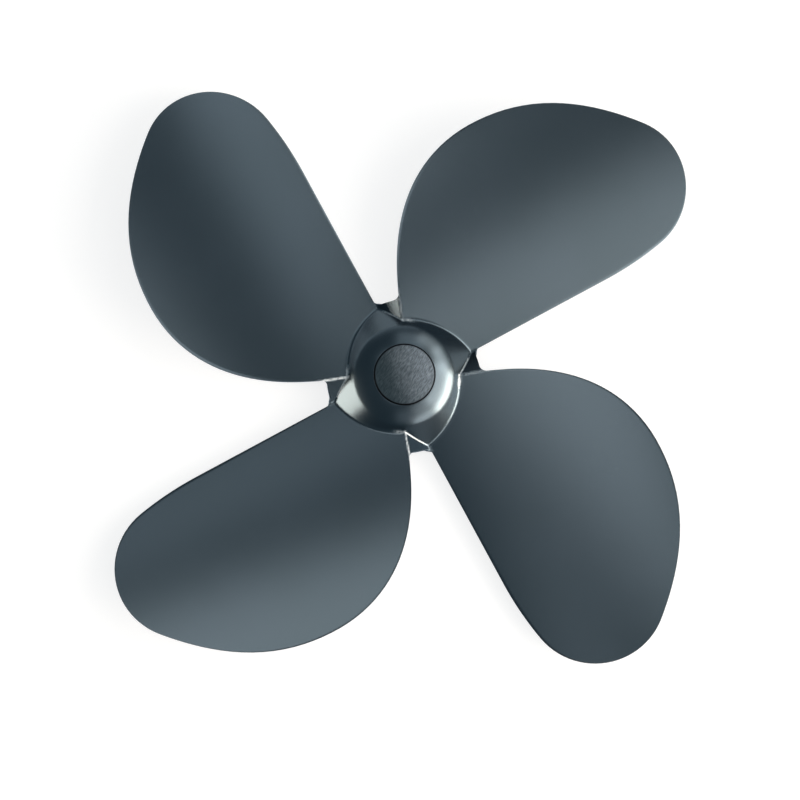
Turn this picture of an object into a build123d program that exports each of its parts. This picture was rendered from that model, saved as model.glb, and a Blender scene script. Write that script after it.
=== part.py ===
"""Four-bladed propeller of a heat-powered stove fan, in millimetres.

One sheet of aluminium is pressed into a domed hub, four cambered blades and
four folded webs.  A turned boss carries it on the motor shaft, a brushed cap
closes the front and traps the sheet against the boss, and a grub screw locks
the boss to the shaft.

Frame: +Z is the shaft axis, pointing out of the front of the propeller.
The origin is on that axis, in the plane of the boss's back face.
"""
import os
from math import asin, cos, degrees, radians, sin, sqrt, tan

from build123d import *

# ---- Rotor -----------------------------------------------------------------
BLADES = 4
ROTOR_RADIUS = 90.0           # axis to the blade tips
SHEET = 1.0                   # thickness of the sheet
EDGE_STANDOFF = 2.8           # boss's back face to the underside of the straight edges

# ---- Outline of one blade, in a frame whose x runs along its straight edge --
EDGE_DIRECTION = 28.5         # degrees from +X to the first blade's straight edge
EDGE_OFFSET = 2.6             # axis to the line of the straight edge
LEAD_RADIUS = 84.0            # slow curve at the outer end of the straight edge
LEAD_SWEEP = 11.3             # degrees of that curve
TIP_RADIUS = 17.4             # round tip that follows it
TIP_SWEEP = 119.7             # degrees of the tip
BLADE_WIDTH = 50.2            # straight edge to the widest point
WIDEST_AT = 45.0              # that point, measured along the straight edge
ROOT_ANGLE = 65.1             # degrees about the axis, from straight edge to curved edge
ROOT_LEAN = 65.7              # degrees, direction of the curved edge at its root
ROOT_RUN = 5.0                # straight run of the curved edge at its root
WEB_RADIUS = 19.2             # axis to the outer edge of the webs
NOTCH_FILLET = 1.7            # round corners where a web meets a blade

# ---- Section of a blade, across the straight edge --------------------------
ROOT_PITCH = 17.5             # degrees, slope of the sheet at the straight edge, by the hub
TIP_PITCH = 15.5              # the same, beyond the tip
CAMBER_RADIUS = 225.0         # radius of the section, which is an arc
SECTION_MARGIN = 8.0          # the section runs past the outline by this much

# ---- Hub dome and webs -----------------------------------------------------
HUB_RISE = 8.2                # straight edges up to the flat seat of the cap
SEAT_RADIUS = 7.8             # flat seat of the cap
SHOULDER_RADIUS = 12.4        # where the dome turns down into its wall
SHOULDER_DROP = 2.5           # seat down to the shoulder
SHOULDER_FILLET = 1.5
WALL_ANGLE = 42.0             # degrees below the horizontal
RIDGE_RADIUS = 14.1           # inner end of the ridge between a blade and its web
RIDGE_ANGLE = 62.8            # degrees about the axis, from the straight edge

# ---- Boss ------------------------------------------------------------------
SHAFT_RADIUS = 1.0            # motor shaft
SHAFT_CLEARANCE = 0.015       # radial, a sliding fit
BORE_DEPTH = 8.5
BORE_CHAMFER = 0.3
BOSS_RADIUS = 5.0
BOSS_CHAMFER = 0.4
FLANGE_RADIUS = 7.2
FLANGE_THICKNESS = 1.4
SPIGOT_RADIUS = 4.0           # boss's nose, through the centre hole of the sheet
SPIGOT_CLEARANCE = 0.05       # radial

# ---- Cap -------------------------------------------------------------------
CAP_RADIUS = 7.7
CAP_THICKNESS = 1.2
CAP_CHAMFER = 0.2
STUB_RADIUS = 1.6             # cap's stub, pressed into the boss's nose
STUB_LENGTH = 1.4
STUB_RELIEF = 0.1             # left below the stub

# ---- Grub screw, M3 --------------------------------------------------------
SCREW_RADIUS = 1.5
SCREW_CLEARANCE = 0.04        # radial, screw in its threaded hole
SCREW_LENGTH = 3.0
SCREW_HEIGHT = 3.0            # boss's back face to the screw's axis
SCREW_BACKED_OFF = 0.6        # screw's tip to the shaft
SCREW_POINT = 0.5             # bevel at the screw's tip
SOCKET_ACROSS = 1.5           # hexagon socket, across its flats
SOCKET_DEPTH = 1.4

# ---- Levels of the sheet ---------------------------------------------------
edge_top = EDGE_STANDOFF + SHEET           # upper face at the straight edges
seat_top = edge_top + HUB_RISE             # upper face under the cap
tool_base = -2 * SHEET                     # foot of the press tool, below every surface
tool_height = seat_top - tool_base


def around_axis(radius, angle, height=0.0):
    """Point at a radius and an angle from the straight edge's direction."""
    return Vector(radius * cos(radians(angle)), radius * sin(radians(angle)), height)


def section_height(across, pitch):
    """Height of a blade's section above its straight edge, at a distance across it."""
    lean = across / CAMBER_RADIUS - sin(radians(pitch))
    return CAMBER_RADIUS * (sqrt(1 - lean ** 2) - cos(radians(pitch)))


# ---- Outlines --------------------------------------------------------------
lead = radians(LEAD_SWEEP)
tip_centre_y = LEAD_RADIUS * (1 - cos(lead)) + TIP_RADIUS * cos(lead) - EDGE_OFFSET
tip_centre_x = sqrt((ROTOR_RADIUS - TIP_RADIUS) ** 2 - tip_centre_y ** 2)
edge_end = tip_centre_x - (LEAD_RADIUS - TIP_RADIUS) * sin(lead)
root_corner = around_axis(WEB_RADIUS, ROOT_ANGLE)
root_direction = around_axis(1, ROOT_LEAN)

with BuildSketch() as blade_outline:
    with BuildLine():
        straight_edge = Line((0, -EDGE_OFFSET), (edge_end, -EDGE_OFFSET))
        lead_in = JernArc(straight_edge @ 1, straight_edge % 1, LEAD_RADIUS, LEAD_SWEEP)
        tip = JernArc(lead_in @ 1, lead_in % 1, TIP_RADIUS, TIP_SWEEP)
        root_top = root_corner + root_direction * ROOT_RUN
        widest = Vector(WIDEST_AT, BLADE_WIDTH - EDGE_OFFSET)
        Spline(tip @ 1, widest, root_top, tangents=[tip % 1, (-1, 0), -root_direction])
        Polyline(root_top, root_corner, (0, 0), straight_edge @ 0)
    make_face()

with BuildSketch() as blade_plan:
    add(blade_outline.sketch)
    Circle(WEB_RADIUS)
    notch_corners = blade_plan.vertices().filter_by(
        lambda corner: abs(Vector(corner).length / WEB_RADIUS - 1) < 1e-6
    )
    fillet(notch_corners, NOTCH_FILLET)


# ---- Press tool, whose surface is the upper face of the sheet --------------
def blade_section(along, pitch):
    """Section of the tool under a blade, standing across its straight edge."""
    start, end = -SECTION_MARGIN, BLADE_WIDTH + SECTION_MARGIN
    plane = Plane(origin=(along, -EDGE_OFFSET, edge_top), x_dir=(0, 1, 0), z_dir=(1, 0, 0))
    with BuildSketch(plane) as section:
        with BuildLine():
            crown = ThreePointArc(*((w, section_height(w, pitch)) for w in (start, end / 2, end)))
            foot = tool_base - edge_top
            Polyline(crown @ 1, (end, foot), (start, foot), crown @ 0)
        make_face()
    return section.sketch


def on_blade(radius, angle):
    """Point on the upper face of a blade near its root."""
    across = radius * sin(radians(angle)) + EDGE_OFFSET
    return around_axis(radius, angle, edge_top + section_height(across, ROOT_PITCH))


# A web is a flat facet from the ridge at one blade's curved edge down to the
# root corner of the next blade's straight edge.
ridge_inner = on_blade(RIDGE_RADIUS, RIDGE_ANGLE)
ridge_outer = on_blade(WEB_RADIUS, ROOT_ANGLE)
next_corner_angle = 360 / BLADES - degrees(asin(EDGE_OFFSET / WEB_RADIUS))
next_corner = around_axis(WEB_RADIUS, next_corner_angle, edge_top)
web_facet = Plane(
    origin=ridge_inner,
    z_dir=(ridge_outer - ridge_inner).cross(next_corner - ridge_inner),
)

with BuildPart() as blade_tool:
    add(blade_section(0, ROOT_PITCH))
    add(blade_section(ROTOR_RADIUS + SECTION_MARGIN, TIP_PITCH))
    loft()
    split(bisect_by=web_facet, keep=Keep.BOTTOM)

with BuildPart() as press_tool:
    with BuildSketch(Plane.XZ) as dome_profile:
        with BuildLine():
            shoulder = Vector(SHOULDER_RADIUS, seat_top - SHOULDER_DROP)
            wall_run = (shoulder.Y - tool_base) / tan(radians(WALL_ANGLE))
            wall_foot = Vector(SHOULDER_RADIUS + wall_run, tool_base)
            Polyline((0, tool_base), (0, seat_top), (SEAT_RADIUS, seat_top),
                     shoulder, wall_foot, (0, tool_base))
        make_face()
        shoulder_corner = dome_profile.vertices().filter_by(
            lambda corner: abs(corner.X / SHOULDER_RADIUS - 1) < 1e-6
        )
        fillet(shoulder_corner, SHOULDER_FILLET)
    revolve(axis=Axis.Z)
    with PolarLocations(0, BLADES, start_angle=EDGE_DIRECTION):
        add(blade_tool.part)

# ---- Pressed sheet: the tool's top layer, cut to the outline ----------------
def cut_to(outline):
    """The stretch of the press tool that stands inside an outline."""
    with BuildPart() as block:
        add(press_tool.part)
        with BuildSketch(Plane.XY.offset(tool_base + SHEET / 2)):
            add(outline)
        extrude(amount=2 * tool_height, mode=Mode.INTERSECT)
    return block.part


with BuildPart() as blade_pressing:
    for blade in range(BLADES):
        add(cut_to(blade_plan.sketch.rotate(Axis.Z, EDGE_DIRECTION + blade * 360 / BLADES)))
    add(press_tool.part.moved(Location((0, 0, -SHEET))), mode=Mode.SUBTRACT)
    with BuildSketch(Plane.XY.offset(seat_top)):
        Circle(SPIGOT_RADIUS + SPIGOT_CLEARANCE)
    extrude(amount=-2 * SHEET, mode=Mode.SUBTRACT)
blade_pressing.part.label = "blade_pressing"

# ---- Turned boss -----------------------------------------------------------
flange_top = seat_top - SHEET              # against the lower face of the sheet
flange_back = flange_top - FLANGE_THICKNESS
screw_hole = Plane(origin=(0, 0, SCREW_HEIGHT), x_dir=(0, 1, 0), z_dir=(1, 0, 0))

with BuildPart() as hub_boss:
    with BuildSketch():
        Circle(BOSS_RADIUS)
    extrude(amount=flange_back)
    with BuildSketch(Plane.XY.offset(flange_back)):
        Circle(FLANGE_RADIUS)
    extrude(amount=FLANGE_THICKNESS)
    with BuildSketch(Plane.XY.offset(flange_top)):
        Circle(SPIGOT_RADIUS)
    extrude(amount=SHEET)
    chamfer(hub_boss.faces().sort_by(Axis.Z)[0].edges(), BOSS_CHAMFER)
    with BuildSketch():
        Circle(SHAFT_RADIUS + SHAFT_CLEARANCE)
    extrude(amount=BORE_DEPTH, mode=Mode.SUBTRACT)
    bore_mouth = hub_boss.edges().filter_by(GeomType.CIRCLE).group_by(Axis.Z)[0]
    chamfer(bore_mouth.sort_by(SortBy.RADIUS)[0], BORE_CHAMFER)
    with BuildSketch(Plane.XY.offset(seat_top)):
        Circle(STUB_RADIUS)
    extrude(amount=-STUB_LENGTH - STUB_RELIEF, mode=Mode.SUBTRACT)
    with BuildSketch(screw_hole):
        Circle(SCREW_RADIUS + SCREW_CLEARANCE)
    extrude(amount=2 * BOSS_RADIUS, mode=Mode.SUBTRACT)
hub_boss.part.label = "hub_boss"

# ---- Brushed cap -----------------------------------------------------------
with BuildPart() as front_cap:
    with BuildSketch(Plane.XY.offset(seat_top)):
        Circle(CAP_RADIUS)
    extrude(amount=CAP_THICKNESS)
    chamfer(front_cap.faces().sort_by(Axis.Z)[-1].edges(), CAP_CHAMFER)
    with BuildSketch(Plane.XY.offset(seat_top)):
        Circle(STUB_RADIUS)
    extrude(amount=-STUB_LENGTH)
front_cap.part.label = "front_cap"

# ---- Grub screw, along +X in the boss, backed off from the shaft -----------
screw_tip = SHAFT_RADIUS + SCREW_BACKED_OFF

with BuildPart() as grub_screw:
    with BuildSketch(screw_hole.offset(screw_tip)):
        Circle(SCREW_RADIUS)
    extrude(amount=SCREW_LENGTH)
    chamfer(grub_screw.faces().sort_by(Axis.X)[0].edges(), SCREW_POINT)
    with BuildSketch(screw_hole.offset(screw_tip + SCREW_LENGTH)):
        RegularPolygon(SOCKET_ACROSS / 2, 6, major_radius=False)
    extrude(amount=-SOCKET_DEPTH, mode=Mode.SUBTRACT)
grub_screw.part.label = "grub_screw"

os.makedirs("parts", exist_ok=True)
for piece in (blade_pressing, hub_boss, front_cap, grub_screw):
    export_step(piece.part, f"parts/{piece.part.label}.step")
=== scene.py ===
# %% [markdown]
# # A stove fan's propeller
# The propeller is pressed from one sheet of aluminium: four cambered blades, a domed hub, and a small folded
# web in each notch. A turned boss behind the hub holds the motor shaft, and a brushed cap closes the front.
# The imported model gives every place and size, so it is loaded first.

from math import asin, atan2, cos, degrees, pi, radians, sin, sqrt

import bmesh
import bpy
import numpy as np
from mathutils import Matrix, Vector


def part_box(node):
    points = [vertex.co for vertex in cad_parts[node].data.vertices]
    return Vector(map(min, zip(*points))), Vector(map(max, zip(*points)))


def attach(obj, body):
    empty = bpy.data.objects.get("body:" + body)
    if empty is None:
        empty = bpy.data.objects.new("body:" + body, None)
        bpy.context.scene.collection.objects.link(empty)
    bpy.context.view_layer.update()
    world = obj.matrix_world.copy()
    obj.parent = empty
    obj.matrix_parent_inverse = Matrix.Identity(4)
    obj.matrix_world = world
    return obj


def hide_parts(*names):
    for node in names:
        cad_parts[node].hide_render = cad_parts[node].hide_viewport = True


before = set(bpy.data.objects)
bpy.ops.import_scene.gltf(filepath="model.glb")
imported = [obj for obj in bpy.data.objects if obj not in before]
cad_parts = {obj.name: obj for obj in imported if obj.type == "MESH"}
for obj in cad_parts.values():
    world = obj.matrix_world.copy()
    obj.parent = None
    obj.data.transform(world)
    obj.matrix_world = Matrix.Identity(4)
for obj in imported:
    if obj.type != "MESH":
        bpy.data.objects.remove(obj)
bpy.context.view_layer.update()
MM = 0.001
print("nodes", sorted(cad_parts))

# %% [markdown]
# ## Shared helpers
# Each piece starts as a primitive, and an operator acts on everything that is selected. So
# nothing may be selected before a primitive is added, and only the wanted faces are selected
# before an edit. These few helpers say that once.

# %% Selecting and finishing
def deselect():
    """Leaves object mode with nothing selected."""
    if bpy.context.object and bpy.context.object.mode != "OBJECT":
        bpy.ops.object.mode_set(mode="OBJECT")
    bpy.ops.object.select_all(action="DESELECT")


def only(piece):
    """Makes one object the only selected and the active one."""
    deselect()
    piece.select_set(True)
    bpy.context.view_layer.objects.active = piece
    return piece


def named(name):
    """Names the object that an operator has just made."""
    piece = bpy.context.object
    piece.name = piece.data.name = name
    return piece


def modify(piece, kind, **settings):
    """Adds one modifier and applies it at once."""
    only(piece)
    modifier = piece.modifiers.new(kind.title(), kind)
    for key, value in settings.items():
        setattr(modifier, key, value)
    bpy.ops.object.modifier_apply(modifier=modifier.name)


def place_in_mesh(piece):
    """Puts the object's place and turn into its mesh, so that the object sits at the origin."""
    only(piece)
    bpy.ops.object.transform_apply(location=True, rotation=True, scale=True)


def finish(piece, node, body, angle):
    """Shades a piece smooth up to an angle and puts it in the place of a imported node."""
    only(piece)
    bpy.ops.object.shade_smooth_by_angle(angle=radians(angle))
    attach(piece, body)
    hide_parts(node)
    triangles = sum(len(face.vertices) - 2 for face in piece.data.polygons)
    print(piece.name, "in the place of", node, "with", triangles, "triangles")


def count(piece):
    """Prints a piece's faces and size."""
    low, high = (Vector(f(v.co[i] for v in piece.data.vertices) for i in range(3)) for f in (min, max))
    size = [round(s / MM, 2) for s in high - low]
    print(piece.name, "faces", len(piece.data.polygons), "size in mm", size)


# %% [markdown]
# ## The blade's outline
# The outline is drawn the way a die maker lays it out: a straight edge, a slow curve into a
# round tip, a long curved back and a short straight run down to the hub. It is stored as a
# chain of points in the blade's own frame, where x runs along the straight edge. From it
# comes, for any radius, the angle at which the blade begins and the angle at which it ends.

# %% Dimensions of the outline, in millimetres and degrees
BLADES = 4
ROTOR_RADIUS = 90.0
EDGE_DIRECTION = 28.5
EDGE_OFFSET = 2.6
LEAD_RADIUS, LEAD_SWEEP = 84.0, 11.3
TIP_RADIUS, TIP_SWEEP = 17.4, 119.7
BLADE_WIDTH, WIDEST_AT = 50.2, 45.0
ROOT_ANGLE, ROOT_LEAN, ROOT_RUN = 65.1, 65.7, 5.0
TIP_PULL, BACK_PULL, ROOT_PULL = 1.36, 0.917, 1.42
WEB_RADIUS = 19.2
NOTCH_FILLET = 1.7
print("rotor", 2 * ROTOR_RADIUS, "mm across, rim of the webs at", WEB_RADIUS)


# %% Points, lines, arcs and curves
def polar(radius, angle):
    """Point at a radius and an angle in degrees."""
    return np.array([radius * cos(radians(angle)), radius * sin(radians(angle))])


def line(start, end, steps):
    """Points along a straight run."""
    return [start + (end - start) * t for t in np.linspace(0, 1, steps)]


def arc(start, heading, radius, sweep, steps):
    """Points along an arc that leaves a point with a heading and turns left."""
    centre = start + polar(radius, heading + 90)
    turns = np.linspace(heading - 90, heading - 90 + sweep, steps)
    return [centre + polar(radius, turn) for turn in turns]


def hermite(start, end, start_speed, end_speed, steps):
    """Cubic curve between two points with given speeds at its ends."""
    t = np.linspace(0, 1, steps)[:, None]
    return list((2 * t**3 - 3 * t**2 + 1) * start + (t**3 - 2 * t**2 + t) * start_speed
                + (3 * t**2 - 2 * t**3) * end + (t**3 - t**2) * end_speed)


# %% Straight edge, tip and curved back
TIP_STEPS = 1200
lead = radians(LEAD_SWEEP)
tip_y = LEAD_RADIUS * (1 - cos(lead)) + TIP_RADIUS * cos(lead) - EDGE_OFFSET
tip_x = sqrt((ROTOR_RADIUS - TIP_RADIUS) ** 2 - tip_y**2)
edge_end = np.array([tip_x - (LEAD_RADIUS - TIP_RADIUS) * sin(lead), -EDGE_OFFSET])
lead_in = arc(edge_end, 0, LEAD_RADIUS, LEAD_SWEEP, 200)
tip_turn = arc(lead_in[-1], LEAD_SWEEP, TIP_RADIUS, TIP_SWEEP, TIP_STEPS)

root_corner = polar(WEB_RADIUS, ROOT_ANGLE)
root_top = root_corner + polar(ROOT_RUN, ROOT_LEAN)
widest = np.array([WIDEST_AT, BLADE_WIDTH - EDGE_OFFSET])
outer_run, inner_run = (np.linalg.norm(b - a) for a, b in ((tip_turn[-1], widest), (widest, root_top)))
tip_speed = polar(TIP_PULL, LEAD_SWEEP + TIP_SWEEP)
back_speed = polar(BACK_PULL, 180)
root_speed = -polar(ROOT_PULL, ROOT_LEAN)
back = (hermite(tip_turn[-1], widest, tip_speed * outer_run, back_speed * outer_run, 900)
        + hermite(widest, root_top, back_speed * inner_run, root_speed * inner_run, 900))
print("straight edge ends at", edge_end.round(2), "tip centre", round(tip_x, 2), round(tip_y, 2))


# %% Round corners of the notches
def corner_fillet(on_line, direction, side):
    """Arc from the web's rim into a blade's edge, on the open side of that edge.

    The edge is a line through a point with a direction. Its circle touches the line on one
    side and the web's rim from outside, so its centre is offset from both by its radius.
    """
    normal = np.array([-direction[1], direction[0]]) * side
    base = on_line + normal * NOTCH_FILLET
    reach = WEB_RADIUS + NOTCH_FILLET
    along = -base @ direction + sqrt((base @ direction) ** 2 - base @ base + reach**2)
    centre = base + direction * along
    on_rim, on_edge = centre * WEB_RADIUS / reach, centre - normal * NOTCH_FILLET
    begin = atan2(*(on_rim - centre)[::-1])
    turn = (atan2(*(on_edge - centre)[::-1]) - begin + pi) % (2 * pi) - pi
    return [centre + polar(NOTCH_FILLET, degrees(begin + turn * t)) for t in np.linspace(0, 1, 60)]


edge_fillet = corner_fillet(np.array([0.0, -EDGE_OFFSET]), polar(1, 0), -1)
root_fillet = corner_fillet(root_corner, polar(1, ROOT_LEAN), 1)
straight_side = edge_fillet + line(edge_fillet[-1], edge_end, 300) + lead_in + tip_turn
tip_to_root = tip_turn[TIP_STEPS // 2:] + back
curved_side = root_fillet + line(root_fillet[-1], root_top, 40) + tip_to_root[::-1]


def radius_and_angle(points):
    """Radii and angles of a chain of points, from the hub outwards only."""
    points = np.array(points)
    radii, angles = np.hypot(*points.T), np.degrees(np.arctan2(points[:, 1], points[:, 0]))
    outwards = np.maximum.accumulate(radii) <= radii
    return radii[outwards], angles[outwards]


edge_chain, back_chain = radius_and_angle(straight_side), radius_and_angle(curved_side)
print("blade spans", [round(float(np.interp(30, *chain)), 2) for chain in (edge_chain, back_chain)],
      "degrees at 30 mm")

# %% [markdown]
# ## The form of the sheet
# A press gives the sheet its form, and the form has simple laws. Across a blade the section is
# an arc, steep at the straight edge and almost level at the back. The hub is a dome whose wall
# turns down and flares out. Each web is a flat facet from the ridge at one blade's root down
# to the next blade's straight edge. The upper face is the highest of these, with a little
# rounding where two of them meet, because sheet metal never bends to a sharp corner.

# %% Dimensions of the form, in millimetres and degrees
ROOT_PITCH, TIP_PITCH, CAMBER_RADIUS = 17.5, 15.5, 225.0
TAPER_LENGTH = 98.0
SEAT_RADIUS = 7.6
RIDGE_RADIUS, RIDGE_ANGLE = 14.1, 62.8
SHEET = 1.0
HUB_RISE = 8.2
RIDGE_SOFTNESS, VALLEY_SOFTNESS = 0.25, 0.2
FOOT_SOFTNESS, FOOT_NARROWEST = 1.1, 0.4

sheet_foot, sheet_crest = (corner.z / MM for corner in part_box("blade_pressing"))
cap_low, cap_high = (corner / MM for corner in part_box("front_cap"))
seat_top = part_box("hub_boss")[1].z / MM
EDGE_TOP = seat_top - HUB_RISE
print("sheet from", round(sheet_foot, 2), "to", round(sheet_crest, 2), "and the cap's seat at",
      round(seat_top, 2))


# %% Arc of a blade
def arc_height(across, pitch):
    """Height of a blade's arc above its straight edge."""
    lean = across / CAMBER_RADIUS - np.sin(np.radians(pitch))
    return CAMBER_RADIUS * (np.sqrt(1 - lean**2) - np.cos(np.radians(pitch)))


def blade_height(x, y):
    """Upper face of the blade, in its own frame."""
    share = x / TAPER_LENGTH
    across = y + EDGE_OFFSET
    at_root, at_tip = arc_height(across, ROOT_PITCH), arc_height(across, TIP_PITCH)
    return EDGE_TOP + (1 - share) * at_root + share * at_tip


print("blade rises", round(blade_height(WIDEST_AT, BLADE_WIDTH - EDGE_OFFSET) - EDGE_TOP, 2),
      "mm from its straight edge to its widest point")


# %% Section of the hub, from its slope at each radius
SLOPE_RADII = [0.0, 7.4, 7.7, 10.0, 12.3, 12.7, 24.0]
SLOPE_DEGREES = [0.0, 0.0, 20.0, 27.0, 36.0, 43.0, 43.0]
SMOOTH_OVER = 61
hub_radii = np.linspace(0, SLOPE_RADII[-1], 2401)
slope = np.interp(hub_radii, SLOPE_RADII, SLOPE_DEGREES)
soften = np.hanning(SMOOTH_OVER) / np.hanning(SMOOTH_OVER).sum()
slope = np.convolve(np.pad(slope, SMOOTH_OVER // 2, mode="edge"), soften, mode="valid")
falls = np.tan(np.radians(slope[1:] + slope[:-1]) / 2) * (hub_radii[1] - hub_radii[0])
hub_heights = seat_top - np.concatenate([[0], np.cumsum(falls)])


def hub_height(radius):
    """Upper face of the hub at a radius."""
    return np.interp(radius, hub_radii, hub_heights)


print("hub falls", round(seat_top - hub_height(RIDGE_RADIUS), 2), "mm from its seat to the webs")


# %% Facet of a web
def blade_point(radius, angle):
    """Point on the upper face of the first blade."""
    x, y = polar(radius, angle)
    return np.array([x, y, blade_height(x, y)])


next_corner_angle = 360 / BLADES - degrees(asin(EDGE_OFFSET / WEB_RADIUS))
ridge_in, ridge_out = blade_point(RIDGE_RADIUS, RIDGE_ANGLE), blade_point(WEB_RADIUS, ROOT_ANGLE)
next_corner = np.array([*polar(WEB_RADIUS, next_corner_angle), EDGE_TOP])
web_normal = np.cross(ridge_out - ridge_in, next_corner - ridge_in)
print("web leans", round(degrees(atan2(np.hypot(*web_normal[:2]), abs(web_normal[2]))), 1), "degrees")


def web_height(x, y):
    """Plane of the first blade's web."""
    rise = web_normal[0] * (x - ridge_in[0]) + web_normal[1] * (y - ridge_in[1])
    return ridge_in[2] - rise / web_normal[2]


# %% Meetings of hub, blade and web
def soft_high(a, b, softness):
    """The higher of two surfaces, rounded where they cross."""
    near = np.maximum(softness - np.abs(a - b), 0) / softness
    return np.maximum(a, b) + near**3 * softness / 6


def sheet_height(radius, angle):
    """Upper face of the sheet at a radius and an angle from the first straight edge.

    A blade runs into the hub with a curve that is wide near the web and narrows away from it.
    A web's folds stay tight.
    """
    hub = hub_height(radius) + 0 * angle
    sheet = hub
    for blade in (-1, 0, 1):
        turned = np.radians(angle - blade * 360 / BLADES)
        x, y = radius * np.cos(turned), radius * np.sin(turned)
        leaf, web = blade_height(x, y), web_height(x, y)
        on_blade = np.clip((web - leaf) / FOOT_SOFTNESS, 0, 1)
        to_web = np.clip(turned / radians(RIDGE_ANGLE), 0, 1)
        softness = FOOT_SOFTNESS * (FOOT_NARROWEST + (1 - FOOT_NARROWEST) * to_web)
        foot = VALLEY_SOFTNESS + (softness - VALLEY_SOFTNESS) * on_blade
        pressed = soft_high(-soft_high(-leaf, -web, RIDGE_SOFTNESS), hub, foot)
        higher = np.maximum(sheet, pressed)
        off_hub = np.clip((higher - hub) / VALLEY_SOFTNESS, 0, 1)
        sheet = higher + (soft_high(sheet, pressed, VALLEY_SOFTNESS) - higher) * off_hub
    return sheet


# %% Marks of the folds: wear and painted highlight
FOLD_WIDTH, FOLD_DEPTH = 0.36, 0.3
FOLD_START, FOLD_FADE, FOLD_FROM_ANGLE = RIDGE_RADIUS - 1.0, 0.6, 40.0
ROOT_MARK_ANGLE, ROOT_MARK_LENGTH, ROOT_MARK_WIDTH, ROOT_MARK_SHARE = 56.0, 1.1, 0.35, 0.8


def fold_wear_and_highlight(radius, angle):
    """How much a place is marked along the folds of its web, from none to one. The mark is partly wear,
    where the layer is strained and crazed, and partly painted highlight of the folds. The folds are the
    ridge and the valley of the web. A short mark runs round the hub near the ridge's inner end, where the
    sheet is drawn hardest, and it too is partly painted highlight.
    """
    x, y = radius * np.cos(np.radians(angle)), radius * np.sin(np.radians(angle))
    leaf, web = blade_height(x, y), web_height(x, y)
    ground = np.maximum(hub_height(radius), blade_height(y, -x))
    near_web = np.clip((radius - FOLD_START) / FOLD_FADE, 0, 1) * (angle > FOLD_FROM_ANGLE)
    ridge = np.clip(1 - np.abs(leaf - web) / FOLD_WIDTH, 0, 1) * (leaf > ground - FOLD_DEPTH)
    valley = np.clip(1 - np.abs(ground - web) / FOLD_WIDTH, 0, 1) * (leaf > web - FOLD_DEPTH)
    along, across = np.radians(angle - ROOT_MARK_ANGLE) * radius, radius - RIDGE_RADIUS
    # Partly painted highlight: a bright spot near the inner end of each ridge.
    root_mark = np.exp(-((along / ROOT_MARK_LENGTH) ** 2) - (across / ROOT_MARK_WIDTH) ** 2)
    return np.clip(np.maximum(ridge, valley) * near_web + ROOT_MARK_SHARE * root_mark, 0, 1)


print("strain near the end of a ridge", round(float(fold_wear_and_highlight(RIDGE_RADIUS, ROOT_MARK_ANGLE)), 2))


# %% [markdown]
# ## Pressing the sheet
# One quarter of the sheet is enough, because the four are alike. It begins as a grid with its
# columns running outwards. Every row is an arc about the shaft: the hub's rows span a quarter
# turn, and the blade's rows span only the angles between its two edges. Moving each vertex to
# its place bends the flat grid into the pressing, as a press does with a blank.

# %% Rows and columns of a quarter
SEAT_ROWS, HUB_ROWS, BLADE_ROWS = 4, 54, 64
BLADE_COLUMNS, WEB_COLUMNS = 70, 34
CENTRE_HOLE = 4.05

rim_start, rim_end = (float(np.interp(WEB_RADIUS, *chain)) for chain in (edge_chain, back_chain))
blade_share = np.linspace(0, 1, BLADE_COLUMNS + 1)
column_angles = np.concatenate([
    rim_start + (rim_end - rim_start) * blade_share,
    np.linspace(rim_end, rim_start + 360 / BLADES, WEB_COLUMNS + 1)[1:],
])
flat_to = SEAT_RADIUS - 0.5
hub_rows = np.concatenate([np.linspace(CENTRE_HOLE, flat_to, SEAT_ROWS + 1)[:-1],
                           np.linspace(flat_to, WEB_RADIUS, HUB_ROWS + 1)])
ease = (1 - np.cos(np.linspace(0, pi, BLADE_ROWS + 1))) / 2
blade_rows = WEB_RADIUS + (ROTOR_RADIUS - WEB_RADIUS) * ease
print("rows", len(hub_rows), "and", len(blade_rows), "columns", len(column_angles))


# %% Grid and press
def grid(name, columns, rows):
    """A flat grid whose vertex at a column and a row is numbered row by row."""
    deselect()
    bpy.ops.mesh.primitive_grid_add(x_subdivisions=columns, y_subdivisions=rows, size=1)
    return named(name)


def press(piece, radii, angles):
    """Moves the vertices of a grid to radii and angles, up to the sheet's height.

    The fold marks, partly wear and partly painted highlight, go with them as an attribute, for the finish.
    """
    heights = sheet_height(radii, angles)
    turned = np.radians(angles + EDGE_DIRECTION)
    places = np.stack([radii * np.cos(turned), radii * np.sin(turned), heights], -1) * MM
    piece.data.vertices.foreach_set("co", places.reshape(-1))
    crease = piece.data.attributes.new("crease", "FLOAT", "POINT")
    crease.data.foreach_set("value", fold_wear_and_highlight(radii, angles).astype(np.float32).reshape(-1))
    piece.data.update()


# %% One quarter of the sheet
hub_part = grid("hub_quarter", len(column_angles) - 1, len(hub_rows) - 1)
radii, angles = np.broadcast_arrays(hub_rows[:, None], column_angles[None, :])
press(hub_part, radii, angles)

blade_part = grid("blade_quarter", BLADE_COLUMNS, BLADE_ROWS)
starts, ends = (np.interp(blade_rows, *chain)[:, None] for chain in (edge_chain, back_chain))
angles = starts + (ends - starts) * blade_share[None, :]
press(blade_part, np.broadcast_to(blade_rows[:, None], angles.shape), angles)
count(hub_part)
count(blade_part)

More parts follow.
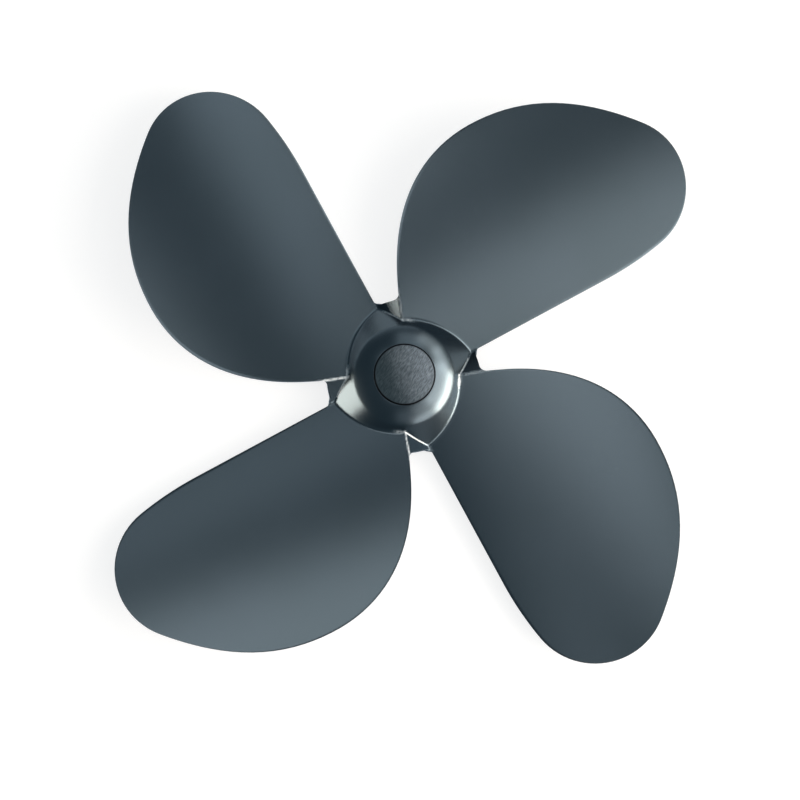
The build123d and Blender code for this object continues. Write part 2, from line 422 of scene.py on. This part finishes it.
# %% Four quarters, sewn together
SEW_WITHIN = 0.02
deselect()
hub_part.select_set(True)
blade_part.select_set(True)
bpy.context.view_layer.objects.active = hub_part
bpy.ops.object.join()
sheet = named("pressed_sheet")
bpy.ops.object.mode_set(mode="EDIT")
for quarter in range(1, BLADES):
    bpy.ops.mesh.select_all(action="DESELECT")
    bm = bmesh.from_edit_mesh(sheet.data)
    bm.faces.ensure_lookup_table()
    for face in bm.faces[: len(bm.faces) // quarter]:
        face.select_set(True)
    bmesh.update_edit_mesh(sheet.data)
    bpy.ops.mesh.duplicate()
    bpy.ops.transform.rotate(value=-quarter * 2 * pi / BLADES, orient_axis="Z", center_override=(0, 0, 0))
bpy.ops.mesh.select_all(action="SELECT")
bpy.ops.mesh.remove_doubles(threshold=SEW_WITHIN * MM)
bpy.ops.mesh.normals_make_consistent(inside=False)
bpy.ops.object.mode_set(mode="OBJECT")
if sheet.data.polygons[0].normal.z < 0:
    sheet.data.flip_normals()
count(sheet)

# %% Thickness and eased rims
RIM_EASE = 0.16
modify(sheet, "SOLIDIFY", thickness=SHEET * MM, offset=-1, use_even_offset=True)
modify(sheet, "BEVEL", width=RIM_EASE * MM, segments=2, limit_method="ANGLE", angle_limit=radians(60))
finish(sheet, "blade_pressing", "propeller", 50)

# %% Notes on the vertices for the finish: the cut rim, and the fold marks of wear and painted highlight, weaker underneath
UNDERSIDE_MARK = 0.15
normals = np.empty(3 * len(sheet.data.vertices), np.float32)
sheet.data.vertex_normals.foreach_get("vector", normals)
upwards = normals[2::3]
rim = sheet.data.attributes.new("cut_rim", "FLOAT", "POINT")
rim.data.foreach_set("value", np.clip(1.3 - 2.2 * np.abs(upwards), 0, 1).astype(np.float32))
print("vertices on the cut rim", int((np.abs(upwards) < 0.5).sum()))

crease = sheet.data.attributes["crease"]
fold_mark = np.empty(len(upwards), np.float32)
crease.data.foreach_get("value", fold_mark)
crease.data.foreach_set("value", np.where(upwards > 0, fold_mark, UNDERSIDE_MARK * fold_mark).astype(np.float32))
print("vertices worn by a fold", int((fold_mark > 0.5).sum()))

# %% [markdown]
# ## Turned parts
# The boss and the cap are turned, so they are round about the shaft. A lathe's way to make
# them here is to start from a circle and to extrude its rim from one point of the profile to
# the next. Spinning a profile would do as well, but its first and last columns would have to
# be sewn, and the extruded rim never opens.

# %% Lathe
def turned(name, profile, segments):
    """Round piece about the Z axis through points of radius and height, in millimetres."""
    deselect()
    radius, height = profile[0]
    bpy.ops.mesh.primitive_circle_add(vertices=segments, radius=radius * MM, fill_type="NGON",
                                      location=(0, 0, height * MM))
    piece = named(name)
    place_in_mesh(piece)
    bpy.ops.object.mode_set(mode="EDIT")
    bpy.ops.mesh.select_mode(type="EDGE")
    for next_radius, next_height in profile[1:]:
        bpy.ops.mesh.extrude_edges_move(
            TRANSFORM_OT_translate={"value": (0, 0, (next_height - height) * MM)})
        grow = next_radius / radius
        bpy.ops.transform.resize(value=(grow, grow, 1), center_override=(0, 0, 0))
        radius, height = next_radius, next_height
    bpy.ops.mesh.edge_face_add()
    bpy.ops.mesh.select_all(action="SELECT")
    bpy.ops.mesh.normals_make_consistent(inside=False)
    bpy.ops.object.mode_set(mode="OBJECT")
    count(piece)
    return piece


def cut(piece, tool):
    """Cuts one piece with another and removes the cutter."""
    modify(piece, "BOOLEAN", operation="DIFFERENCE", solver="EXACT", object=tool)
    bpy.data.objects.remove(tool, do_unlink=True)


# %% [markdown]
# ## The cap
# The cap is a thin disc with a stub that is pressed into the boss. Its face is brushed and very
# slightly crowned, and its edge is rounded over. The crown is a parabola, so a few rings are
# enough for it.

# %% Cap
CAP_EDGE, CROWN, STUB_RADIUS, STUB_LENGTH = 0.25, 0.15, 1.6, 1.4
cap_radius = (cap_high.x - cap_low.x) / 2
crown_shares = (0.9, 0.75, 0.6, 0.45, 0.3, 0.15)
crown = [(cap_radius * share, cap_high.z - CROWN * share**2) for share in crown_shares]
cap_profile = [
    (0.6, seat_top - STUB_LENGTH), (STUB_RADIUS, seat_top - STUB_LENGTH), (STUB_RADIUS, seat_top),
    (cap_radius, seat_top), (cap_radius, cap_high.z - CROWN), *crown,
]
cap = turned("brushed_cap", cap_profile, 160)
modify(cap, "BEVEL", width=CAP_EDGE * MM, segments=5, limit_method="ANGLE", angle_limit=radians(50))
finish(cap, "front_cap", "propeller", 30)

# %% [markdown]
# ## The boss
# The boss is hidden from the front but is seen from behind. It has a flange that the sheet
# lies on, a nose through the sheet's centre hole, a blind bore for the motor shaft and a cross
# hole for the grub screw. The cross hole is cut with a Boolean, because it breaks into the
# bore from the side, where extruding can't follow the crossing of two cylinders.

# %% Boss
SHAFT_BORE, BORE_DEPTH = 1.015, 8.5
BOSS_RADIUS, FLANGE_RADIUS, FLANGE_THICKNESS = 5.0, 7.2, 1.4
NOSE_RADIUS, EASE, BORE_CHAMFER, BACK_CHAMFER = 4.0, 0.25, 0.3, 0.4
flange_top = seat_top - SHEET
flange_foot = flange_top - FLANGE_THICKNESS
pocket_floor = seat_top - STUB_LENGTH - 0.1
boss_profile = [
    (0.3, BORE_DEPTH), (SHAFT_BORE, BORE_DEPTH), (SHAFT_BORE, BORE_CHAMFER),
    (SHAFT_BORE + BORE_CHAMFER, 0.0), (BOSS_RADIUS - BACK_CHAMFER, 0.0),
    (BOSS_RADIUS, BACK_CHAMFER), (BOSS_RADIUS, flange_foot - 0.3),
    (BOSS_RADIUS + 0.1, flange_foot - 0.1), (BOSS_RADIUS + 0.3, flange_foot),
    (FLANGE_RADIUS - EASE, flange_foot), (FLANGE_RADIUS, flange_foot + EASE),
    (FLANGE_RADIUS, flange_top), (NOSE_RADIUS, flange_top),
    (NOSE_RADIUS, seat_top - 0.1), (NOSE_RADIUS - 0.1, seat_top), (STUB_RADIUS, seat_top),
    (STUB_RADIUS, pocket_floor), (0.4, pocket_floor),
]
boss = turned("turned_boss", boss_profile, 128)

# %% Cross hole
SCREW_PLAY, HOLE_START, HOLE_END = 0.04, 0.2, 6.2
screw_low, screw_high = (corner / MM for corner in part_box("grub_screw"))
screw_height = (screw_low.z + screw_high.z) / 2
screw_radius = (screw_high.z - screw_low.z) / 2
hole_middle = ((HOLE_START + HOLE_END) / 2 * MM, 0, screw_height * MM)
deselect()
bpy.ops.mesh.primitive_cylinder_add(vertices=64, radius=(screw_radius + SCREW_PLAY) * MM,
                                    depth=(HOLE_END - HOLE_START) * MM,
                                    location=hole_middle, rotation=(0, pi / 2, 0))
cross_hole = named("cross_hole")
place_in_mesh(cross_hole)
cut(boss, cross_hole)
finish(boss, "hub_boss", "propeller", 35)

# %% [markdown]
# ## The grub screw
# A grub screw is a headless thread with a hexagon socket in one end and a bevelled point at
# the other. Its thread is a grid rolled up about the screw's axis: each vertex lies nearer to
# the axis or further from it by its phase along the helix. The grid's two edges meet a whole
# turn apart, so the helix closes on itself.

# %% Thread
PITCH, THREAD_DEPTH = 0.5, 0.27
POINT_BEVEL, END_BEVEL = 0.5, 0.2
STEPS_AROUND, STEPS_ALONG = 60, 90
screw_length = screw_high.x - screw_low.x


def thread_radius(along, around):
    """Radius of the threaded rod, at a distance from its point and an angle in turns."""
    phase = (along / PITCH - around) % 1
    flank = np.clip(1.25 - 2.7 * np.abs(phase - 0.5), 0, 1)
    crest = screw_radius - THREAD_DEPTH * (1 - flank)
    point = screw_radius - POINT_BEVEL + along
    end = screw_radius - END_BEVEL + screw_length - along
    return np.minimum(crest, np.minimum(point, end))


screw = grid("grub_screw_thread", STEPS_ALONG, STEPS_AROUND)
around = np.linspace(0, 1, STEPS_AROUND + 1)[:, None]
along = np.linspace(0, screw_length, STEPS_ALONG + 1)[None, :]
rod = thread_radius(along, around)
places = np.stack([screw_low.x + along + 0 * rod, rod * np.cos(2 * pi * around),
                   screw_height + rod * np.sin(2 * pi * around)], -1) * MM
screw.data.vertices.foreach_set("co", places.reshape(-1))

# %% Sewing the thread and closing its ends
only(screw)
bpy.ops.object.mode_set(mode="EDIT")
bpy.ops.mesh.select_all(action="SELECT")
bpy.ops.mesh.remove_doubles(threshold=0.001 * MM)
bpy.ops.mesh.select_mode(type="EDGE")
bpy.ops.mesh.select_all(action="DESELECT")
bpy.ops.mesh.select_non_manifold()
bpy.ops.mesh.fill_holes(sides=0)
bpy.ops.mesh.select_all(action="SELECT")
bpy.ops.mesh.normals_make_consistent(inside=False)
bpy.ops.object.mode_set(mode="OBJECT")
count(screw)

# %% Hexagon socket
SOCKET_ACROSS, SOCKET_DEPTH = 1.5, 1.4
deselect()
bpy.ops.mesh.primitive_cylinder_add(vertices=6, radius=SOCKET_ACROSS / 2 / cos(radians(30)) * MM,
                                    depth=2 * SOCKET_DEPTH * MM, rotation=(0, pi / 2, 0),
                                    location=(screw_high.x * MM, 0, screw_height * MM))
key = named("hexagon_key")
place_in_mesh(key)
cut(screw, key)
finish(screw, "grub_screw", "set_screw", 35)

# %% [markdown]
# ## Finishes
# A finish is a small network of nodes. Arithmetic on a value that changes over the surface is
# written as ordinary arithmetic: the class below wraps a socket, and each operator adds a Math
# node. Every other node comes from one method, which takes its kind, its settings and what
# goes into its sockets.

# %% Arithmetic on sockets
class Field:
    """A number that changes over a surface."""

    def __init__(self, finish, socket):
        self.finish, self.socket = finish, socket

    def maths(self, operation, *terms):
        """Adds a Math node that works on some terms."""
        return self.finish.node("ShaderNodeMath", {"operation": operation}, dict(enumerate(terms)))

    def __add__(self, other):
        return self.maths("ADD", self, other)

    def __rsub__(self, other):
        return self.maths("SUBTRACT", other, self)

    def __mul__(self, other):
        return self.maths("MULTIPLY", self, other)

    __radd__, __rmul__ = __add__, __mul__


# %% Materials under construction
class Finish:
    """A material under construction, in metres on the piece's own coordinates."""

    def __init__(self, name, color, metallic, roughness):
        self.material = bpy.data.materials.new(name)
        self.material.use_nodes = True
        self.tree = self.material.node_tree
        self.shader = self.tree.nodes["Principled BSDF"]
        self.feed(self.shader, {"Base Color": (*color, 1), "Metallic": metallic, "Roughness": roughness})
        self.place = self.node("ShaderNodeTexCoord", {}, {}, "Object")

    def feed(self, node, inputs):
        """Gives a node's sockets their values or links."""
        for key, value in inputs.items():
            if isinstance(value, Field):
                self.tree.links.new(value.socket, node.inputs[key])
            else:
                node.inputs[key].default_value = value

    def node(self, kind, settings, inputs, output=0):
        """Adds a node and returns one of its outputs."""
        node = self.tree.nodes.new(kind)
        for key, value in settings.items():
            setattr(node, key, value)
        self.feed(node, inputs)
        return Field(self, node.outputs[output])

    def noise(self, scale, stretch=(1, 1, 1), turn=0.0, detail=2.0):
        """Noise with a number of features per metre, turned about Z and stretched."""
        place = self.node("ShaderNodeMapping", {"vector_type": "POINT"},
                          {"Vector": self.place, "Rotation": (0, 0, turn)})
        place = self.node("ShaderNodeVectorMath", {"operation": "MULTIPLY"}, {0: place, 1: stretch})
        return self.node("ShaderNodeTexNoise", {}, {"Vector": place, "Scale": scale, "Detail": detail})

    def part_way(self, value, low, high):
        """Nought below one value, one above another, and smooth between."""
        return self.node("ShaderNodeMapRange", {"interpolation_type": "SMOOTHSTEP"},
                         {"Value": value, "From Min": low, "From Max": high})

    def radius(self):
        """Distance from the shaft's axis, in metres."""
        flat = self.node("ShaderNodeVectorMath", {"operation": "MULTIPLY"}, {0: self.place, 1: (1, 1, 0)})
        return self.node("ShaderNodeVectorMath", {"operation": "LENGTH"}, {0: flat}, "Value")

    def blend(self, mask, below, above):
        """Colour that goes from one to another with a mask."""
        return self.node("ShaderNodeMix", {"data_type": "RGBA"}, {0: mask, 6: below, 7: above}, 2)

    def bump(self, height, strength, distance):
        """Feeds a height field to the shader as a bump."""
        normal = self.node("ShaderNodeBump", {},
                           {"Height": height, "Strength": strength, "Distance": distance})
        self.feed(self.shader, {"Normal": normal})

    def coat(self, piece):
        """Puts this finish alone on a piece."""
        piece.data.materials.clear()
        piece.data.materials.append(self.material)
        print(piece.name, "wears", self.material.name, "with", len(self.tree.nodes), "nodes")


# %% [markdown]
# ## Dark anodised sheet
# Anodised aluminium is still a metal to the light: its colour is that of its reflections. The blank was
# blasted before the dye, so the gloss is broken by a very fine grain, and the dye took a little unevenly
# over the blades. The dye also darkens what the metal reflects at a low angle, which is the shader's
# specular tint. On the cut rims the colour is painted a little lighter, partly the rubbed layer and partly a
# painted highlight along the rim. Along the tight folds of the webs the colour is painted bright and rough,
# partly the strained and crazed layer showing bright metal and partly a painted highlight of the folds.

# %% Anodised sheet
anodised = Finish("dark_anodised_aluminium", (0.107, 0.136, 0.153), 1.0, 0.28)
anodised.feed(anodised.shader, {"Specular Tint": (0.35, 0.40, 0.45, 1)})
cloud = anodised.noise(28, detail=3.0)
grain = anodised.noise(5200, detail=3.0)
rim_mask = anodised.node("ShaderNodeAttribute", {"attribute_name": "cut_rim"}, {}, "Fac")
# Painted highlight along the cut rims, mixed with the rubbed layer.
rubbed_and_highlit = rim_mask * anodised.part_way(anodised.noise(2500, detail=3.0), 0.42, 0.72)
dye = anodised.blend(anodised.part_way(cloud, 0.3, 0.7), (0.104, 0.135, 0.156, 1), (0.113, 0.145, 0.170, 1))
# Painted highlight along the folds, mixed with the crazed layer: the colour goes to bright metal there.
crazed_and_highlit = anodised.node("ShaderNodeAttribute", {"attribute_name": "crease"}, {}, "Fac")
crazed_and_highlit = crazed_and_highlit * anodised.part_way(anodised.noise(1800, detail=3.0), 0.25, 0.6)
color = anodised.blend(rubbed_and_highlit * 0.3 + crazed_and_highlit, dye, (0.72, 0.77, 0.80, 1))
roughness = 0.21 + grain * 0.06 + cloud * 0.03 + rubbed_and_highlit * 0.1 + crazed_and_highlit * 0.42
anodised.feed(anodised.shader, {"Base Color": color, "Roughness": roughness})
anodised.bump(grain, 0.25, 0.00001)
anodised.coat(sheet)

# %% [markdown]
# ## Brushed cap
# The face of the cap was brushed in one direction after it was dyed, which leaves fine lines of uneven
# length and depth. Lines are noise stretched along the brush. One side of the face is painted lighter and
# the other darker, a painted gradient of the light from the lamps on that side. The rounded edge is painted
# near black, partly the dye that the brush left there and partly painted shade of the dark line round the
# cap.

# %% Brushed cap
BRUSH_ANGLE, LIT_SIDE = radians(58), radians(18)
brushed = Finish("brushed_black_aluminium", (0.12, 0.12, 0.13), 1.0, 0.34)
brushed.feed(brushed.shader, {"Specular Tint": (0.22, 0.25, 0.28, 1)})
lines = brushed.noise(7000, stretch=(0.14, 1, 1), turn=-BRUSH_ANGLE, detail=3.0)
streaks = brushed.noise(3200, stretch=(0.25, 1, 1), turn=-BRUSH_ANGLE, detail=3.0)
edge = brushed.part_way(brushed.radius(), (cap_radius - 0.42) * MM, (cap_radius - 0.32) * MM)
shine = brushed.part_way(lines * 0.6 + streaks * 0.4, 0.34, 0.68)
aside = brushed.node("ShaderNodeVectorMath", {"operation": "DOT_PRODUCT"},
                     {0: brushed.place, 1: (cos(LIT_SIDE), sin(LIT_SIDE), 0)}, "Value")
# Painted light: the face goes from darker on one side to lighter on the other.
painted_lit_side = brushed.part_way(aside + brushed.noise(400) * 0.003, -0.004, 0.010)
dark = brushed.blend(painted_lit_side, (0.018, 0.028, 0.034, 1), (0.140, 0.167, 0.190, 1))
light = brushed.blend(painted_lit_side, (0.050, 0.071, 0.083, 1), (0.415, 0.470, 0.525, 1))
face = brushed.blend(shine, dark, light)
brushed.feed(brushed.shader, {
    # Painted shade: the rounded edge is near black, partly dye left on it and partly the dark shade line
    # round the cap.
    "Base Color": brushed.blend(edge, face, (0.008, 0.009, 0.011, 1)),
    "Roughness": 0.30 + shine * 0.12 + edge * 0.15,
})
brushed.bump((lines * 0.6 + streaks * 0.4) * (1 - edge), 0.5, 0.00004)
brushed.coat(cap)

# %% [markdown]
# ## Turned boss and black grub screw
# The boss is bare aluminium from the lathe. Its tool left a fine spiral, which is a wave along
# the shaft on the round faces and a wave along the radius on the flat ones. The grub screw is
# steel with a black oxide, worn on the crests of its thread and round its socket.

# %% Turned boss
FEED_PER_TURN = 0.12
bright = Finish("turned_aluminium", (0.62, 0.63, 0.64), 1.0, 0.3)
up = bright.node("ShaderNodeSeparateXYZ", {}, {0: bright.place}, 2)
feed_marks = (bright.radius() + up) * (2 * pi / (FEED_PER_TURN * MM))
spiral = bright.node("ShaderNodeMath", {"operation": "SINE"}, {0: feed_marks})
stain = bright.noise(450, detail=4.0)
bright.feed(bright.shader, {
    "Base Color": bright.blend(bright.part_way(stain, 0.35, 0.7), (0.60, 0.61, 0.63, 1),
                               (0.68, 0.68, 0.68, 1)),
    "Roughness": 0.24 + stain * 0.12 + spiral * 0.02,
})
bright.bump(spiral * 0.5 + bright.noise(6000) * 0.4, 0.4, 0.00001)
bright.coat(boss)

# %% Black grub screw
oxide = Finish("black_oxide_steel", (0.03, 0.03, 0.035), 1.0, 0.35)
speck = oxide.noise(3000, detail=3.0)
off_axis = oxide.node("ShaderNodeVectorMath", {"operation": "SUBTRACT"},
                      {0: oxide.place, 1: (0, 0, screw_height * MM)})
off_axis = oxide.node("ShaderNodeVectorMath", {"operation": "MULTIPLY"}, {0: off_axis, 1: (0, 1, 1)})
crest = oxide.node("ShaderNodeVectorMath", {"operation": "LENGTH"}, {0: off_axis}, "Value")
worn = oxide.part_way(crest, (screw_radius - 0.06) * MM, screw_radius * MM) * oxide.part_way(speck, 0.4, 0.7)
oxide.feed(oxide.shader, {
    "Base Color": oxide.blend(worn * 0.6, (0.03, 0.03, 0.035, 1), (0.42, 0.41, 0.40, 1)),
    "Roughness": 0.32 + speck * 0.16,
})
oxide.bump(speck, 0.3, 0.00001)
oxide.coat(screw)

# %% [markdown]
# ## Floor
# The propeller lies on its boss on a white floor. To the camera, and in reflections, the floor
# is more than half its own white, and the rest is what the lamps make of it. So it is white
# wherever light reaches it and keeps a faint shadow close to the blades. All other light sees
# a plain matt floor. From below the floor is clear, so that the propeller's back can be seen.

# %% Floor
deselect()
bpy.ops.mesh.primitive_plane_add(size=6)
floor = named("studio_floor")
paint = Finish("floor_paint", (0.9, 0.9, 0.9), 0.0, 1.0)
paint.feed(paint.shader, {"Specular IOR Level": 0.0})
seen = [paint.node("ShaderNodeLightPath", {}, {}, ray)
        for ray in ("Is Camera Ray", "Is Glossy Ray", "Is Transmission Ray")]
glow = paint.node("ShaderNodeEmission", {}, {"Strength": 1.3})
lit = Field(paint, paint.shader.outputs[0])
own_white = (seen[0] + seen[1] + seen[2]) * 0.6
above = paint.node("ShaderNodeMixShader", {}, {0: own_white, 1: lit, 2: glow})
below = paint.node("ShaderNodeBsdfTransparent", {}, {})
behind = paint.node("ShaderNodeNewGeometry", {}, {}, "Backfacing")
floor_shader = paint.node("ShaderNodeMixShader", {}, {0: behind, 1: above, 2: below})
paint.feed(paint.tree.nodes["Material Output"], {"Surface": floor_shader})
paint.coat(floor)

# %% [markdown]
# ## Light
# A dark metal shows its lamps, so their places draw its form. A surface shows the lamp that
# stands at twice its own lean, so the low lamps light mostly the steep dome and the webs, and
# the high ones the blades. One broad box overhead gives the blades their slow gradients, and
# small weak boxes lift one edge or one corner of them. A strong low rail on the right draws
# the bright crescent of the dome, and the banks and boxes above it give its shoulder a softer
# light. A low strip on the left makes the one flare beside the web. A dim world, slightly
# blue, fills the rest.

# %% Lamps
def softbox(name, azimuth, polar_angle, distance, width, height, radiance, warmth=0.0):
    """Area lamp that looks at the hub from an azimuth and an angle off the shaft's axis."""
    a, p = radians(azimuth), radians(polar_angle)
    away = Vector((sin(p) * cos(a), sin(p) * sin(a), cos(p)))
    deselect()
    bpy.ops.object.light_add(type="AREA", location=away * distance)
    lamp = bpy.context.object
    lamp.name = name
    lamp.rotation_euler = away.to_track_quat("Z", "Y").to_euler()
    lamp.data.shape = "RECTANGLE"
    lamp.data.size, lamp.data.size_y = width, height
    lamp.data.energy = radiance * width * height * pi
    lamp.data.color = (1, 1 - warmth / 2, 1 - warmth)
    print(name, "at", azimuth, "and", polar_angle, "degrees")


# name, azimuth, angle off the axis, distance, width, height, radiance, warmth
softbox("overhead_box", 172, 8.0, 1.2, 0.42, 0.66, 1.48, 0.08)
softbox("right_bank", -8, 50, 0.9, 0.85, 0.45, 2.9, 0.15)
softbox("right_rail", -17, 68, 0.85, 0.75, 0.19, 15.0, 0.28)
softbox("low_right_rail", -60, 66, 0.85, 0.4, 0.16, 3.4, 0.15)
softbox("low_right_bank", -52, 50, 0.9, 0.45, 0.4, 1.0, 0.15)
softbox("high_right_box", 26, 60, 0.9, 0.45, 0.28, 2.7, 0.15)
softbox("far_right_box", 52, 62, 0.9, 0.45, 0.3, 1.4, 0.15)
softbox("edge_box_low", -34, 27, 0.9, 0.34, 0.24, 1.2, 0.1)
softbox("edge_box_high", 58, 35, 0.9, 0.3, 0.22, 0.95)
softbox("lower_left_box", 245, 26, 0.9, 0.3, 0.2, 0.5, 0.05)
softbox("left_strip", 196, 87, 0.8, 0.55, 0.16, 12.4, 0.3)
softbox("left_fill", 147, 84, 0.8, 0.6, 0.12, 0.9)
softbox("top_rail", 100, 80, 0.9, 0.9, 0.2, 0.5)
softbox("top_sheet", 78, 52, 1.0, 0.55, 0.45, 0.55)
softbox("top_left_box", 125, 33, 1.0, 0.35, 0.25, 0.65)
softbox("bottom_sheet", 274, 54, 1.0, 0.35, 0.35, 0.3)

# %% Dim world
WORLD_COLOR, WORLD_STRENGTH = (0.62, 0.92, 1.1, 1), 0.14
world = bpy.context.scene.world or bpy.data.worlds.new("studio")
bpy.context.scene.world = world
world.use_nodes = True
background = world.node_tree.nodes["Background"]
background.inputs["Color"].default_value = WORLD_COLOR
background.inputs["Strength"].default_value = WORLD_STRENGTH
print("world at a strength of", WORLD_STRENGTH)

# %% [markdown]
# ## Camera
# The camera looks almost straight down the shaft from 600 mm. It is tilted a little and aims
# beside the shaft, which leaves room below the propeller, and the Y axis points up in its view.

# %% Camera
DISTANCE, TILT, TILT_AZIMUTH = 600.0, 4.7, 236.0
AIM_X, AIM_Y, LENS = -0.75, -5.76, 107
aim = Vector((AIM_X, AIM_Y, EDGE_TOP)) * MM
tilt, azimuth = radians(TILT), radians(TILT_AZIMUTH)
away = Vector((sin(tilt) * cos(azimuth), sin(tilt) * sin(azimuth), cos(tilt)))
deselect()
bpy.ops.object.camera_add(location=aim + away * DISTANCE * MM)
camera = bpy.context.object
right = Vector((0, 1, 0)).cross(away).normalized()
camera.rotation_euler = Matrix((right, away.cross(right), away)).transposed().to_euler()
camera.data.lens = LENS
camera.data.clip_start = 0.01
bpy.context.scene.camera = camera
bpy.context.scene.view_settings.view_transform = "Standard"
print("camera at", [round(v / MM, 1) for v in camera.location], "mm with a lens of", LENS, "mm")
